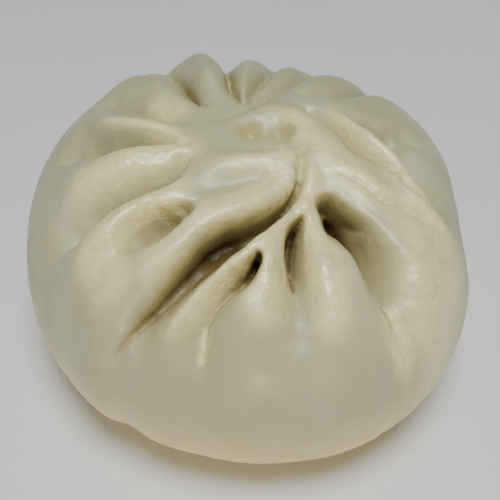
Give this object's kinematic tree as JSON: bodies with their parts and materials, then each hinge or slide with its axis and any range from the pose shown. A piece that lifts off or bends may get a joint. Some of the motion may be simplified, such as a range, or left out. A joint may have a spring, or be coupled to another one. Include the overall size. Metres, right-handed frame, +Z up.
{
  "type": "pork baozi",
  "caption": "Round steamed bun of pale wheat dough, pleated into a twist near its top with open folds at the front, resting on a flat foot.",
  "frame": {"origin": "middle of the bun's bounding box, at the flat foot it rests on", "axes": "+Z up through the bun; -Y towards the front, where the open folds under the twist face; +X to their right"},
  "size_m": [0.1028, 0.1048, 0.0593],
  "materials": {
    "dough": "soft satin skin of steamed wheat dough, cream with a faint green-grey cast, slightly damp"
  },
  "bodies": {
    "root": {"bun": "dough"}
  },
  "joints": []
}
